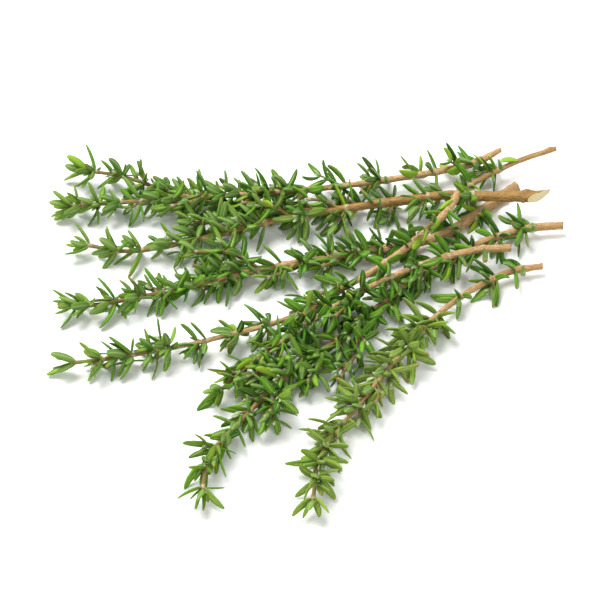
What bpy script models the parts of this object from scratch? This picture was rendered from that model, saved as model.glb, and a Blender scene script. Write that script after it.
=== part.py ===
"""Thyme bundle: eight cut sprigs lying loose on a table, fanned out from their cut ends.

Each sprig is one grown piece: a woody stem that thins towards its tip, side shoots, and narrow
leaves in crossed opposite pairs with smaller leaves in their axils. Sizes here are millimetres;
the meshes are made in metres. +Z is up, z = 0 is the table, -X is the way the tips point.
"""

import math
import random

import bmesh
import bpy
import numpy as np
from mathutils.bvhtree import BVHTree

MM = 0.001

# Leaves
MAIN_LEAF = {"length": 8.6, "width": 2.9, "keel": 0.9}
AXIL_LEAF = {"length": 7.0, "width": 2.5, "keel": 0.8}
TIP_LEAF = {"length": 5.8, "width": 2.2, "keel": 0.75}
ROOT_SINK = 0.55
ROOT_DROP = 0.35
LEAF_RINGS = ((0.31, 0.96), (0.70, 0.86))
LENGTH_SPREAD = 0.18
LEAF_GAP = 0.22
TABLE_DIP = 0.3

# Stems
STEM_STEP = 8.0
SHOOT_STEP = 3.6
TIP_RADIUS = 0.5
SHOOT_RADIUS = 0.45
STEM_TAPER = 0.75
FINE_STEP = 0.5
LAST_NODE = 1.2
SPACING_POWER = 1.6
SPACING_SPREAD = 0.26
TWIN_SHARE = 0.4
NEAR = 25.0
SHOOT_INTERNODE = 4.6

# Every way a leaf may be bent to lie clear: a turn round the stem and a lean towards its tip.
BENDS = ((0, 0), (18, 0), (-18, 0), (0, -12), (34, -4), (-34, -4), (0, -24), (52, -8), (-52, -8),
         (24, -26), (-24, -26), (74, -10), (-74, -10), (50, -30), (-50, -30), (100, -14), (-100, -14))

# Each sprig's route runs from its cut end to its tip, as (x, y, height) of the stem's centre.
# bare is the leafless length above the cut, internode the node spacing there and near the tip,
# and shoots are (distance from the cut end, side in degrees, length).
SPRIGS = (
    {"name": "sprig_1", "seed": 11, "cut_radius": 1.15, "bare": 9, "internode": (13.0, 5.6),
     "route": ((57.5, 64.5, 3.4), (46.5, 57.5, 4.0), (21.5, 50.5, 5.0), (-4.5, 46, 5.4), (-30.5, 42, 7.4),
               (-53.5, 41.5, 5.6), (-68.5, 40.5, 5.0)),
     "shoots": ((70, 60, 9), (92, 20, 10))},
    {"name": "sprig_2", "seed": 22, "cut_radius": 0.85, "bare": 19, "internode": (12.5, 5.6),
     "route": ((73.5, 63.5, 5.0), (61.5, 58.5, 4.6), (49.5, 51.5, 3.6), (39.5, 46.5, 2.6), (12.5, 42, 2.4),
               (-14.5, 42, 2.6), (-34.5, 46, 3.0), (-52.5, 51.5, 5.4), (-65, 53.5, 6.4)),
     "shoots": ()},
    {"name": "sprig_3", "seed": 33, "cut_radius": 1.65, "bare": 19, "internode": (12.5, 5.8),
     "route": ((66.7, 42.2, 7.2), (52.5, 42.5, 7.0), (37.5, 43, 6.6), (13.5, 39, 6.2), (-10.5, 34, 5.6),
               (-35.5, 26.5, 4.8), (-50.5, 24, 4.2), (-62.5, 26, 4.6)),
     "shoots": ((58, 120, 10), (72, 150, 15), (90, 160, 12))},
    {"name": "sprig_4", "seed": 44, "cut_radius": 1.8, "bare": 15, "internode": (11.0, 5.8),
     "route": ((61.5, 51.5, 1.4), (50.5, 42, 1.35), (36.5, 30.5, 2.6), (12.5, 23.5, 3.6), (-12.5, 17.5, 4.0),
               (-33.5, 10.9, 4.0), (-55.5, 5, 4.0), (-64.7, 3.9, 4.4)),
     "shoots": ((84, 160, 20), (60, 20, 9), (74, 15, 11))},
    {"name": "sprig_5", "seed": 55, "cut_radius": 1.2, "bare": 7, "internode": (12.5, 6.4),
     "route": ((43.5, 40.5, 10.6), (37.5, 31.5, 9.2), (23.5, 18, 7.6), (7.5, 6.5, 6.4), (-4.5, -1.5, 5.6),
               (-28.5, -9.1, 4.6), (-50.5, -14.2, 4.2), (-63.5, -16.4, 4.4)),
     "shoots": ((50, 190, 9), (12, 80, 7))},
    {"name": "sprig_6", "seed": 66, "cut_radius": 1.15, "bare": 8, "internode": (10.5, 5.8),
     "route": ((57.5, 23.5, 6.2), (45.5, 21.5, 7.0), (29.5, 15, 7.2), (13.5, 6, 6.6), (-2.5, -6, 5.6),
               (-15.5, -17.5, 4.8), (-23.5, -26, 4.4)),
     "shoots": ((50, 20, 9),)},
    {"name": "sprig_7", "seed": 77, "cut_radius": 1.2, "bare": 9, "internode": (11.0, 6.2),
     "route": ((73.5, 34.5, 3.4), (61.5, 33, 3.2), (46.5, 26.5, 2.8), (28.5, 13.5, 2.8), (11.5, -4.5, 3.4),
               (-6.5, -21.5, 4.0), (-18.5, -37, 4.0), (-25.5, -47.5, 4.6), (-27.1, -58.4, 4.2)),
     "shoots": ((96, 170, 14), (104, 10, 12), (72, 0, 20), (86, 0, 12))},
    {"name": "sprig_8", "seed": 88, "cut_radius": 1.05, "bare": 6, "internode": (10.0, 6.0),
     "route": ((66.5, 19.5, 3.0), (56.5, 17, 3.0), (43.5, 8.5, 3.2), (30.5, -5.5, 3.8), (18.5, -23.5, 4.0),
               (8.5, -38.5, 4.0), (3, -49, 4.4), (1.4, -61.9, 4.2)),
     "shoots": ((40, 200, 9), (66, 10, 8))},
)


def unit(vector):
    """The vector at length one."""
    return vector / np.linalg.norm(vector)


def smooth_line(points, step):
    """A Catmull-Rom curve through the points, resampled so that its points lie one step apart."""
    knots = np.array(points, float)
    knots = np.vstack([2 * knots[0] - knots[1], knots, 2 * knots[-1] - knots[-2]])
    t = np.linspace(0, 1, 24, endpoint=False)[:, None]
    spans = []
    for a, b, c, d in zip(knots, knots[1:], knots[2:], knots[3:]):
        spans.append(0.5 * (2 * b + (c - a) * t + (2 * a - 5 * b + 4 * c - d) * t**2
                            + (3 * b - a - 3 * c + d) * t**3))
    line = np.vstack([*spans, knots[-2:-1]])
    along = np.concatenate([[0], np.cumsum(np.linalg.norm(np.diff(line, axis=0), axis=1))])
    count = max(2, round(along[-1] / step) + 1)
    wanted = np.linspace(0, along[-1], count)
    return np.column_stack([np.interp(wanted, along, line[:, k]) for k in range(3)])


class Stem:
    """A tapering stem: its centre line, and the point, tangent and radius at any distance along it."""

    def __init__(self, points, root_radius, tip_radius):
        self.line = smooth_line(points, FINE_STEP)
        steps = np.linalg.norm(np.diff(self.line, axis=0), axis=1)
        self.along = np.concatenate([[0], np.cumsum(steps)])
        self.length = self.along[-1]
        self.root_radius = root_radius
        self.tip_radius = tip_radius

    def point(self, distance):
        return np.array([np.interp(distance, self.along, self.line[:, k]) for k in range(3)])

    def tangent(self, distance):
        ahead = self.point(min(distance + 1, self.length))
        return unit(ahead - self.point(max(distance - 1, 0)))

    def radius(self, distance):
        share = min(max(distance / self.length, 0), 1) ** STEM_TAPER
        return self.root_radius + (self.tip_radius - self.root_radius) * share

    def side(self, distance, degrees):
        """The direction out of the stem that many degrees above its left side, seen from its root."""
        along = self.tangent(distance)
        level = unit(np.cross([0, 0, 1], along))
        angle = math.radians(degrees)
        return level * math.cos(angle) + np.cross(along, level) * math.sin(angle)


def leaf_spine(leaf, shares):
    """Centre, across and face-up directions at these shares of a leaf's length. It leaves the stem at
    an angle that changes steadily towards its tip, so its middle line is an arc of a circle."""
    start = math.radians(leaf["lean"] - leaf["curl"] / 2)
    turn = math.radians(leaf["curl"])
    u = np.asarray(shares, float)[:, None]
    along, out = leaf["along"], leaf["out"]
    forward = (np.sin(start + turn * u) - math.sin(start)) / turn
    outward = (math.cos(start) - np.cos(start + turn * u)) / turn
    centre = leaf["root"] + leaf["length"] * (forward * along + outward * out)
    angle = start + turn * u
    face = np.sin(angle) * along - np.cos(angle) * out
    level = np.cross(along, out)[None, :]
    roll = math.radians(leaf["roll"])
    across = level * math.cos(roll) + face * math.sin(roll)
    return centre, across, face * math.cos(roll) - level * math.sin(roll)


def leaf_blade(leaf, grow=0.0):
    """A leaf as a closed loft: a point sunk past the stem's middle, three-sided rings (two margins
    and a keel below) and a pointed tip."""
    shares = [0.0] + [share for share, _ in LEAF_RINGS] + [1.0]
    centre, across, face = leaf_spine(leaf, shares)
    radius = leaf["stem"].radius(leaf["distance"])
    root = centre[0] - radius * (ROOT_SINK * unit(centre[1] - centre[0]) + ROOT_DROP * face[0])
    points = [root]
    for k, (_, share) in enumerate(LEAF_RINGS, start=1):
        half = leaf["width"] * share / 2 + grow
        points += [centre[k] - across[k] * half + face[k] * grow,
                   centre[k] + across[k] * half + face[k] * grow,
                   centre[k] - face[k] * (leaf["keel"] * (0.4 + 0.6 * share) + grow)]
    points.append(centre[-1] + unit(centre[-1] - centre[-2]) * grow)
    tip = len(points) - 1
    turns = ((0, 1), (1, 2), (2, 0))
    faces = [(0, 1 + a, 1 + b) for a, b in turns]
    faces += [face for a, b in turns for face in ((1 + a, 4 + a, 1 + b), (1 + b, 4 + a, 4 + b))]
    faces += [(4 + a, tip, 4 + b) for a, b in turns]
    return np.array(points), faces


def tree_of(meshes):
    """One search tree over several (points, faces) meshes, or None if there are none."""
    points, faces, first = [], [], 0
    for some_points, some_faces in meshes:
        points.append(some_points)
        faces += [tuple(first + k for k in face) for face in some_faces]
        first += len(some_points)
    if not faces:
        return None
    return BVHTree.FromPolygons(np.vstack(points).tolist(), faces)


def touches(blade, trees):
    """Whether a blade meets anything in the trees."""
    own = tree_of([blade])
    return any(tree is not None and own.overlap(tree) for tree in trees)


def tube_hull(stem):
    """A stem's outside as a six-sided tube, for finding what touches it."""
    count = max(3, round(stem.length / 2.5))
    turns = np.radians(np.arange(6) * 60)
    points, faces = [], []
    for k, distance in enumerate(np.linspace(0, stem.length, count)):
        along = stem.tangent(distance)
        level = unit(np.cross([0, 0, 1], along))
        upward = np.cross(along, level)
        radius = stem.radius(distance) * 1.06
        points.append(stem.point(distance) + radius * (np.cos(turns)[:, None] * level
                                                       + np.sin(turns)[:, None] * upward))
        if k:
            for j in range(6):
                a, b = 6 * (k - 1) + j, 6 * (k - 1) + (j + 1) % 6
                faces += [(a, b, b + 6), (a, b + 6, a + 6)]
    return np.vstack(points), faces


def shoot_stems(sprig, main):
    """The side shoots' stems: each leaves the main stem forwards and outwards and bends along it."""
    stems = []
    for distance, degrees, length in sprig["shoots"]:
        root, along = main.point(distance), main.tangent(distance)
        out = main.side(distance, degrees)
        knee = root + length * (0.32 * along + 0.30 * out)
        end = root + length * (0.86 * along + 0.46 * out)
        knee[2], end[2] = max(knee[2], 2.6), max(end[2], 3.2)
        stems.append(Stem((root, knee, end), SHOOT_RADIUS * 1.25, SHOOT_RADIUS))
    return stems


def node_distances(stem, bare, internode, draw):
    """Distances of the leaf nodes from the root: their spacing shrinks towards the tip, by a power."""
    found, distance = [], bare
    while distance < stem.length - 3:
        found.append(distance)
        share = (distance / stem.length) ** SPACING_POWER
        spacing = internode[0] + (internode[1] - internode[0]) * share
        distance += spacing * draw.uniform(1 - SPACING_SPREAD, 1 + SPACING_SPREAD)
    return found + [stem.length - LAST_NODE]


def leaf_at(stem, distance, degrees, lean, curl, form, draw):
    """One leaf rooted on the stem's centre line, as the values that its shape is worked out from."""
    return {"stem": stem, "distance": distance, "degrees": degrees, "lean": lean, "curl": curl,
            "length": form["length"] * draw.uniform(1 - LENGTH_SPREAD, 1 + LENGTH_SPREAD * 0.6),
            "width": form["width"] * draw.uniform(0.9, 1.08), "keel": form["keel"],
            "roll": draw.uniform(-14, 14)}


def nominal_leaves(sprig, main, shoots, draw):
    """Every leaf of a sprig as it would grow with nothing in its way."""
    leaves = []
    turn = draw.uniform(30, 60)
    nodes = node_distances(main, sprig["bare"], sprig["internode"], draw)
    for k, distance in enumerate(nodes):
        young = (distance / main.length) ** 2
        last = k == len(nodes) - 1
        for side in (0, 180):
            degrees = turn + side + draw.uniform(-14, 14)
            lean = (42 if last else 68 - 13 * young) + draw.uniform(-13, 13)
            leaves.append(leaf_at(main, distance, degrees, lean, draw.uniform(-36, 14), MAIN_LEAF, draw))
            twins = draw.random() < TWIN_SHARE and young < 0.5
            for turned in (() if last else (-42, 42) if twins else (draw.choice((-42, 42)),)):
                axil = degrees + turned + draw.uniform(-12, 12)
                closer = lean - draw.uniform(-4, 24)
                further = draw.uniform(0.8, 2.4)
                curl = draw.uniform(-30, 14)
                leaves.append(leaf_at(main, distance + further, axil, closer, curl, AXIL_LEAF, draw))
        turn += 90 + draw.uniform(-10, 10)
    for side in (0, 90, 180, 270):
        degrees = turn + side + draw.uniform(-14, 14)
        leaves.append(leaf_at(main, main.length - 0.4, degrees, draw.uniform(20, 42), -12, TIP_LEAF, draw))
    for shoot in shoots:
        turn = draw.uniform(0, 90)
        count = max(2, round(shoot.length / SHOOT_INTERNODE))
        for k in range(1, count + 1):
            distance = shoot.length * k / count - 0.5
            for side in (0, 180):
                lean = 62 - 34 * k / count + draw.uniform(-8, 8)
                degrees = turn + side + draw.uniform(-14, 14)
                leaves.append(leaf_at(shoot, distance, degrees, lean, -24, TIP_LEAF, draw))
            turn += 90
    return leaves


def bent(leaf, bend):
    """The leaf turned round its stem and leaned towards the stem's tip by one of the bends."""
    moved = dict(leaf)
    moved["lean"] = max(leaf["lean"] + bend[1], 8)
    moved["along"] = leaf["stem"].tangent(leaf["distance"])
    moved["out"] = leaf["stem"].side(leaf["distance"], leaf["degrees"] + bend[0])
    moved["root"] = leaf["stem"].point(leaf["distance"])
    return moved


def outer(blade):
    """A blade without its root, which is inside the stem: for finding leaves that cross."""
    points, faces = blade
    return points[1:], [tuple(k - 1 for k in face) for face in faces if min(face) >= 1]


def clear_leaves(leaves, trees):
    """The leaves in their first bend that clears the table, the other sprigs and the leaves before
    them. One that no bend clears is left off, as a leaf rubbed off in the pile."""
    kept, own = [], []
    for leaf in leaves:
        place = leaf["stem"].point(leaf["distance"])
        own_tree = tree_of([blade for blade in own if np.abs(blade[0][0] - place).max() < NEAR])
        for bend in BENDS:
            moved = bent(leaf, bend)
            blade = leaf_blade(moved)
            if blade[0][:, 2].min() < -TABLE_DIP:
                continue
            grown = leaf_blade(moved, LEAF_GAP)
            if touches(grown, trees) or touches(outer(grown), [own_tree]):
                continue
            kept.append(moved)
            own.append(outer(blade))
            break
    return kept


def plan_bundle():
    """Each sprig's stems and the leaves on them, all clear of the other sprigs."""
    plans = []
    for sprig in SPRIGS:
        main = Stem(sprig["route"], sprig["cut_radius"], TIP_RADIUS)
        plans.append({"sprig": sprig, "main": main, "shoots": shoot_stems(sprig, main)})
    for plan in plans:
        draw = random.Random(plan["sprig"]["seed"])
        others = [p for p in plans if p is not plan]
        stems = [tube_hull(s) for p in others for s in (p["main"], *p["shoots"])]
        blades = [leaf_blade(leaf) for p in others for leaf in p.get("leaves", ())]
        leaves = nominal_leaves(plan["sprig"], plan["main"], plan["shoots"], draw)
        plan["leaves"] = clear_leaves(leaves, [tree_of(stems), tree_of(blades)])
    return plans


def mesh_object(name, points, faces, collection):
    """An object in place from points in millimetres. What dips below the table is pressed flat on it."""
    pressed = np.array(points)
    pressed[:, 2] = np.maximum(pressed[:, 2], 0)
    mesh = bpy.data.meshes.new(name)
    mesh.from_pydata((pressed * MM).tolist(), [], faces)
    obj = bpy.data.objects.new(name, mesh)
    collection.objects.link(obj)
    return obj


def stem_object(name, stem, step, twist, collection):
    """A stem as a closed mesh, made from a curve with a six-sided bevel that thins towards the tip.
    The twist Z_UP keeps a flat side down all along a stem that lies level."""
    line = smooth_line(stem.line, step)
    curve = bpy.data.curves.new(name, "CURVE")
    curve.dimensions = "3D"
    curve.twist_mode = twist
    curve.bevel_depth = MM
    curve.bevel_resolution = 1
    curve.use_fill_caps = True
    spline = curve.splines.new("POLY")
    spline.points.add(len(line) - 1)
    for k, (point, place) in enumerate(zip(spline.points, line)):
        point.co = (*(place * MM), 1)
        point.radius = stem.radius(stem.length * k / (len(line) - 1))
    guide = bpy.data.objects.new(name + "_curve", curve)
    collection.objects.link(guide)
    graph = bpy.context.evaluated_depsgraph_get()
    mesh = bpy.data.meshes.new_from_object(guide.evaluated_get(graph))
    work = bmesh.new()
    work.from_mesh(mesh)
    bmesh.ops.remove_doubles(work, verts=work.verts, dist=1e-6)
    for vertex in work.verts:
        vertex.co.z = max(vertex.co.z, 0)
    work.to_mesh(mesh)
    work.free()
    bpy.data.objects.remove(guide)
    obj = bpy.data.objects.new(name, mesh)
    collection.objects.link(obj)
    return obj


def drop_flaps(mesh):
    """Splits a union's faces into triangles and takes out those that lie back to back on the same
    three corners, which a seam's in-line points leave."""
    work = bmesh.new()
    work.from_mesh(mesh)
    bmesh.ops.triangulate(work, faces=work.faces)
    by_corners = {}
    for face in work.faces:
        by_corners.setdefault(frozenset(face.verts), []).append(face)
    flaps = [face for faces in by_corners.values() if len(faces) == 2 for face in faces]
    bmesh.ops.delete(work, geom=flaps, context="FACES")
    work.to_mesh(mesh)
    work.free()


def thyme_material():
    """Fresh thyme green, matt and slightly downy."""
    material = bpy.data.materials.new("thyme_leaf")
    material.use_nodes = True
    shader = material.node_tree.nodes["Principled BSDF"]
    shader.inputs["Base Color"].default_value = (0.13, 0.30, 0.05, 1)
    shader.inputs["Roughness"].default_value = 0.6
    shader.inputs["Metallic"].default_value = 0.0
    return material


def build_sprig(plan, material, bundle):
    """One sprig: its leaves and side shoots joined to the main stem by a single Boolean union."""
    name = plan["sprig"]["name"]
    repeats = bpy.data.collections.new(name + "_repeats")
    bpy.context.scene.collection.children.link(repeats)
    body = stem_object(name, plan["main"], STEM_STEP, "Z_UP", bundle)
    for k, shoot in enumerate(plan["shoots"]):
        stem_object(f"{name}_shoot_{k}", shoot, SHOOT_STEP, "MINIMUM", repeats)
    for k, leaf in enumerate(plan["leaves"]):
        points, faces = leaf_blade(leaf)
        mesh_object(f"{name}_leaf_{k}", points, faces, repeats)
    union = body.modifiers.new("leaves", "BOOLEAN")
    union.operation = "UNION"
    union.operand_type = "COLLECTION"
    union.collection = repeats
    union.solver = "MANIFOLD"
    graph = bpy.context.evaluated_depsgraph_get()
    joined = bpy.data.meshes.new_from_object(body.evaluated_get(graph))
    drop_flaps(joined)
    body.modifiers.clear()
    body.data = joined
    joined.name = name
    joined.materials.clear()
    joined.materials.append(material)
    for obj in list(repeats.objects):
        bpy.data.objects.remove(obj)
    bpy.data.collections.remove(repeats)
    return body


def main():
    for obj in list(bpy.data.objects):
        bpy.data.objects.remove(obj)
    bundle = bpy.data.collections.new("thyme_bundle")
    bpy.context.scene.collection.children.link(bundle)
    material = thyme_material()
    for plan in plan_bundle():
        build_sprig(plan, material, bundle)


main()
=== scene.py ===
"""Thyme bundle, dressed: eight cut sprigs with their bark, leaves, short leafy shoots and buds.

The sprigs' routes and main leaves repeat the solids' own rule, so every fine leaf lies in the place of
a plain one. Leaf pairs between the nodes, short shoots in the axils and single leaves along the bark
are then added. Sizes are millimetres and the meshes are made in metres. +Z is up, z = 0 is the table,
-X is the way the tips point.
"""

import math
import random

import bpy
import numpy as np
from mathutils import Matrix, Vector
from mathutils.bvhtree import BVHTree


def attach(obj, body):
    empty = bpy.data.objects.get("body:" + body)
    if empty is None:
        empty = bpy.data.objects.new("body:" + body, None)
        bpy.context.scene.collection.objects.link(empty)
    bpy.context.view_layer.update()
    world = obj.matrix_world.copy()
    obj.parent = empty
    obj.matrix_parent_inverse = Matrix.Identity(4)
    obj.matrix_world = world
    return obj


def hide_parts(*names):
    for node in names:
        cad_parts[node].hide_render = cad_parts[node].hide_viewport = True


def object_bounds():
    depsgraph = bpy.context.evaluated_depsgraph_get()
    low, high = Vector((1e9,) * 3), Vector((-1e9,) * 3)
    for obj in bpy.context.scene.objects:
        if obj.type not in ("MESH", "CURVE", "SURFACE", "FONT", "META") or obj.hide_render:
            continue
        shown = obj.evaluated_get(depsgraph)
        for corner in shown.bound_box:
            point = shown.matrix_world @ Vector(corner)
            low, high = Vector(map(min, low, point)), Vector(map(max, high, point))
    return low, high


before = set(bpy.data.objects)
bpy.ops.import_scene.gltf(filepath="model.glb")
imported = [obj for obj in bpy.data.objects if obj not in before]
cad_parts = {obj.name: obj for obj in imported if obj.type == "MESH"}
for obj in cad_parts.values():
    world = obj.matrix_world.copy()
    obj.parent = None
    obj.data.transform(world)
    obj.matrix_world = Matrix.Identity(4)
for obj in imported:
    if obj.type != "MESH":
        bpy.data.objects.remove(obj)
CAD_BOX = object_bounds()

MM = 0.001

# The leaves of the solids. A leaf starts inside its stem, sunk and dropped by shares of the stem's
# radius, and its rings are (share of the length, share of the width). It keeps LEAF_GAP clear of the
# others, and may dip below the table by TABLE_DIP, where it is pressed flat.
MAIN_LEAF = {"length": 8.6, "width": 2.9, "keel": 0.9}
AXIL_LEAF = {"length": 7.0, "width": 2.5, "keel": 0.8}
TIP_LEAF = {"length": 5.8, "width": 2.2, "keel": 0.75}
ROOT_SINK = 0.55
ROOT_DROP = 0.35
LEAF_RINGS = ((0.31, 0.96), (0.70, 0.86))
LENGTH_SPREAD = 0.18
WIDTH_RANGE = (0.9, 1.08)
LEAF_GAP = 0.22
TABLE_DIP = 0.3

# How they point, in degrees. A lean away from the stem is (at the stem's root, how much less at its
# tip, spread either way), and WANDER is how far a leaf strays from its even place round the stem.
MAIN_LEAN = (68, 13, 13)
LAST_LEAN = (42, 0, 13)
SHOOT_LEAN = (62, 34, 8)
BETWEEN_LEAN = (66, 16, 12)
TIP_LEAN = (20, 42)
CURL = (-36, 14)
AXIL_CURL = (-30, 14)
SHOOT_CURL = -24
TIP_CURL = -12
WANDER = 14

# An axil leaf is turned from its main leaf, leans closer to the stem and sits further along it. Some
# of the older main leaves have one on each side.
AXIL_TURNS = (-42, 42)
AXIL_WANDER = 12
AXIL_CLOSER = (-4, 24)
AXIL_FURTHER = (0.8, 2.4)
TWIN_SHARE = 0.4
TWINS_UNTIL = 0.5

# The stems of the solids. A side shoot's knee and end are (share of its length forwards, share
# outwards, lowest height), and it is thicker at its root by SHOOT_FLARE.
TIP_RADIUS = 0.5
SHOOT_RADIUS = 0.45
SHOOT_FLARE = 1.25
SHOOT_KNEE = (0.32, 0.30, 2.6)
SHOOT_END = (0.86, 0.46, 3.2)
STEM_TAPER = 0.75
SPAN_POINTS = 24
FINE_STEP = 0.5

# Where the nodes are: from the bare length on, ever closer by a power, and one near the end
NODE_MARGIN = 3
LAST_NODE = 1.2
SPACING_POWER = 1.6
SPACING_SPREAD = 0.26
SHOOT_INTERNODE = 4.6
SHOOT_NODE_BACK = 0.5
TIP_BACK = 0.4

# What a leaf is tested against: a plain tube round each stem, a little wider than it, and those of
# its own sprig's leaves that are no further off than NEAR.
NEAR = 25.0
HULL_SIDES = 6
HULL_STEP = 2.5
HULL_EASE = 1.06

# Every way a leaf may be bent to lie clear: a turn round the stem and a lean towards its tip.
BENDS = ((0, 0), (18, 0), (-18, 0), (0, -12), (34, -4), (-34, -4), (0, -24), (52, -8), (-52, -8),
         (24, -26), (-24, -26), (74, -10), (-74, -10), (50, -30), (-50, -30), (100, -14), (-100, -14))

# Each sprig's route runs from its cut end to its tip, as (x, y, height) of the stem's centre.
# bare is the leafless length above the cut, internode the node spacing there and near the tip,
# and shoots are (distance from the cut end, side in degrees, length). tan is how light the bark is,
# cut_slope how far the cut leans for each millimetre across it, full_from the share of the stem from
# which it bears leaves between the solids' nodes too, vigour the size of its small leaves, olive how
# dull its green is, and fresh the share of yellow-green leaves near the cut. sprouts are extra shoots
# and clasping are single leaves lying along the bark, both as (distance, side in degrees) and only on
# some sprigs, knots are lumps on the bark, as (distance, side in degrees, height in stem radii), and
# neck is how far the cut end is drawn in.
SPRIGS = (
    {"name": "sprig_1", "seed": 11, "cut_radius": 1.15, "bare": 9, "internode": (13.0, 5.6),
     "route": ((57.5, 64.5, 3.4), (46.5, 57.5, 4.0), (21.5, 50.5, 5.0), (-4.5, 46, 5.4), (-30.5, 42, 7.4),
               (-53.5, 41.5, 5.6), (-68.5, 40.5, 5.0)),
     "shoots": ((70, 60, 9), (92, 20, 10)), "tan": 0.95, "cut_slope": 0.5,
     "full_from": 0.5, "vigour": 1.0, "olive": 0.15, "fresh": 0.5,
     "sprouts": ((15.5, 120), (27, 200), (39.5, 155), (52, 150)), "clasping": ((14, 40),), "neck": 0.4,
     "knots": ((8, 90, 0.30), (5, 230, 0.25), (30, 100, 0.25))},
    {"name": "sprig_2", "seed": 22, "cut_radius": 0.85, "bare": 19, "internode": (12.5, 5.6),
     "route": ((73.5, 63.5, 5.0), (61.5, 58.5, 4.6), (49.5, 51.5, 3.6), (39.5, 46.5, 2.6),
               (12.5, 42, 2.4), (-14.5, 42, 2.6), (-34.5, 46, 3.0), (-52.5, 51.5, 5.4),
               (-65, 53.5, 6.4)),
     "shoots": (), "tan": 0.55, "cut_slope": 0.3,
     "full_from": 0.45, "vigour": 0.95, "olive": 0.15, "fresh": 0.7,
     "clasping": ((12, 110), (30, 60)), "neck": 0.15,
     "knots": ((2.2, 80, 1.1), (18, 200, 0.3))},
    {"name": "sprig_3", "seed": 33, "cut_radius": 1.65, "bare": 19, "internode": (12.5, 5.8),
     "route": ((66.7, 42.2, 7.2), (52.5, 42.5, 7.0), (37.5, 43, 6.6), (13.5, 39, 6.2), (-10.5, 34, 5.6),
               (-35.5, 26.5, 4.8), (-50.5, 24, 4.2), (-62.5, 26, 4.6)),
     "shoots": ((58, 120, 10), (72, 150, 15), (90, 160, 12)), "tan": 0.18, "cut_slope": 2.1,
     "full_from": 0.58, "vigour": 1.05, "olive": 0.3, "fresh": 0.3,
     "neck": 0.0,
     "knots": ((4.5, 120, 0.30), (9, 330, 0.22), (15.5, 60, 0.30), (26, 210, 0.2))},
    {"name": "sprig_4", "seed": 44, "cut_radius": 1.8, "bare": 15, "internode": (11.0, 5.8),
     "route": ((61.5, 51.5, 1.4), (50.5, 42, 1.35), (36.5, 30.5, 2.6), (12.5, 23.5, 3.6),
               (-12.5, 17.5, 4.0), (-33.5, 10.9, 4.0), (-55.5, 5, 4.0), (-64.7, 3.9, 4.4)),
     "shoots": ((84, 160, 20), (60, 20, 9), (74, 15, 11)), "tan": 0.85, "cut_slope": 0.2,
     "full_from": 0.3, "vigour": 1.05, "olive": 0.1, "fresh": 0.35,
     "sprouts": ((67, 175), (92, 170), (117, 165), (79, 0)), "neck": 0.1,
     "knots": ((6, 60, 0.25), (17, 20, 0.30), (30, 150, 0.2))},
    {"name": "sprig_5", "seed": 55, "cut_radius": 1.2, "bare": 7, "internode": (12.5, 6.4),
     "route": ((43.5, 40.5, 10.6), (37.5, 31.5, 9.2), (23.5, 18, 7.6), (7.5, 6.5, 6.4), (-4.5, -1.5, 5.6),
               (-28.5, -9.1, 4.6), (-50.5, -14.2, 4.2), (-63.5, -16.4, 4.4)),
     "shoots": ((50, 190, 9), (12, 80, 7)), "tan": 1.0, "cut_slope": 0.6,
     "full_from": 0.76, "vigour": 1.0, "olive": 0.15, "fresh": 0.5,
     "sprouts": ((99, 160), (100, -15)), "clasping": ((3, 150), (11, 60), (19, 20)), "neck": 0.12,
     "knots": ((9, 60, 0.2), (21, 120, 0.3))},
    {"name": "sprig_6", "seed": 66, "cut_radius": 1.15, "bare": 8, "internode": (10.5, 5.8),
     "route": ((57.5, 23.5, 6.2), (45.5, 21.5, 7.0), (29.5, 15, 7.2), (13.5, 6, 6.6), (-2.5, -6, 5.6),
               (-15.5, -17.5, 4.8), (-23.5, -26, 4.4)),
     "shoots": ((50, 20, 9),), "tan": 0.78, "cut_slope": 0.1,
     "full_from": 0.45, "vigour": 1.0, "olive": 0.0, "fresh": 0.1,
     "sprouts": ((15, -25), (26, -20)), "neck": 0.08,
     "knots": ((9, 40, 0.2), (19, 120, 0.3))},
    {"name": "sprig_7", "seed": 77, "cut_radius": 1.2, "bare": 9, "internode": (11.0, 6.2),
     "route": ((73.5, 34.5, 3.4), (61.5, 33, 3.2), (46.5, 26.5, 2.8), (28.5, 13.5, 2.8),
               (11.5, -4.5, 3.4), (-6.5, -21.5, 4.0), (-18.5, -37, 4.0), (-25.5, -47.5, 4.6),
               (-27.1, -58.4, 4.2)),
     "shoots": ((96, 170, 14), (104, 10, 12), (72, 0, 20), (86, 0, 12)), "tan": 0.62, "cut_slope": 0.2,
     "full_from": 0.35, "vigour": 1.05, "olive": 0.15, "fresh": 0.0,
     "sprouts": ((12, 10), (11, 190), (37, 0), (44, -5), (90, -5)), "neck": 0.08,
     "knots": ((11, 60, 0.3), (24, 140, 0.25))},
    {"name": "sprig_8", "seed": 88, "cut_radius": 1.05, "bare": 6, "internode": (10.0, 6.0),
     "route": ((66.5, 19.5, 3.0), (56.5, 17, 3.0), (43.5, 8.5, 3.2), (30.5, -5.5, 3.8),
               (18.5, -23.5, 4.0), (8.5, -38.5, 4.0), (3, -49, 4.4), (1.4, -61.9, 4.2)),
     "shoots": ((40, 200, 9), (66, 10, 8)), "tan": 0.65, "cut_slope": 0.2,
     "full_from": 0.30, "vigour": 1.15, "olive": 0.75, "fresh": 0.0,
     "sprouts": ((50, 75), (58, 110)), "neck": 0.1,
     "knots": ((5, 70, 0.2), (16, 60, 0.3))},
)

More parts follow.
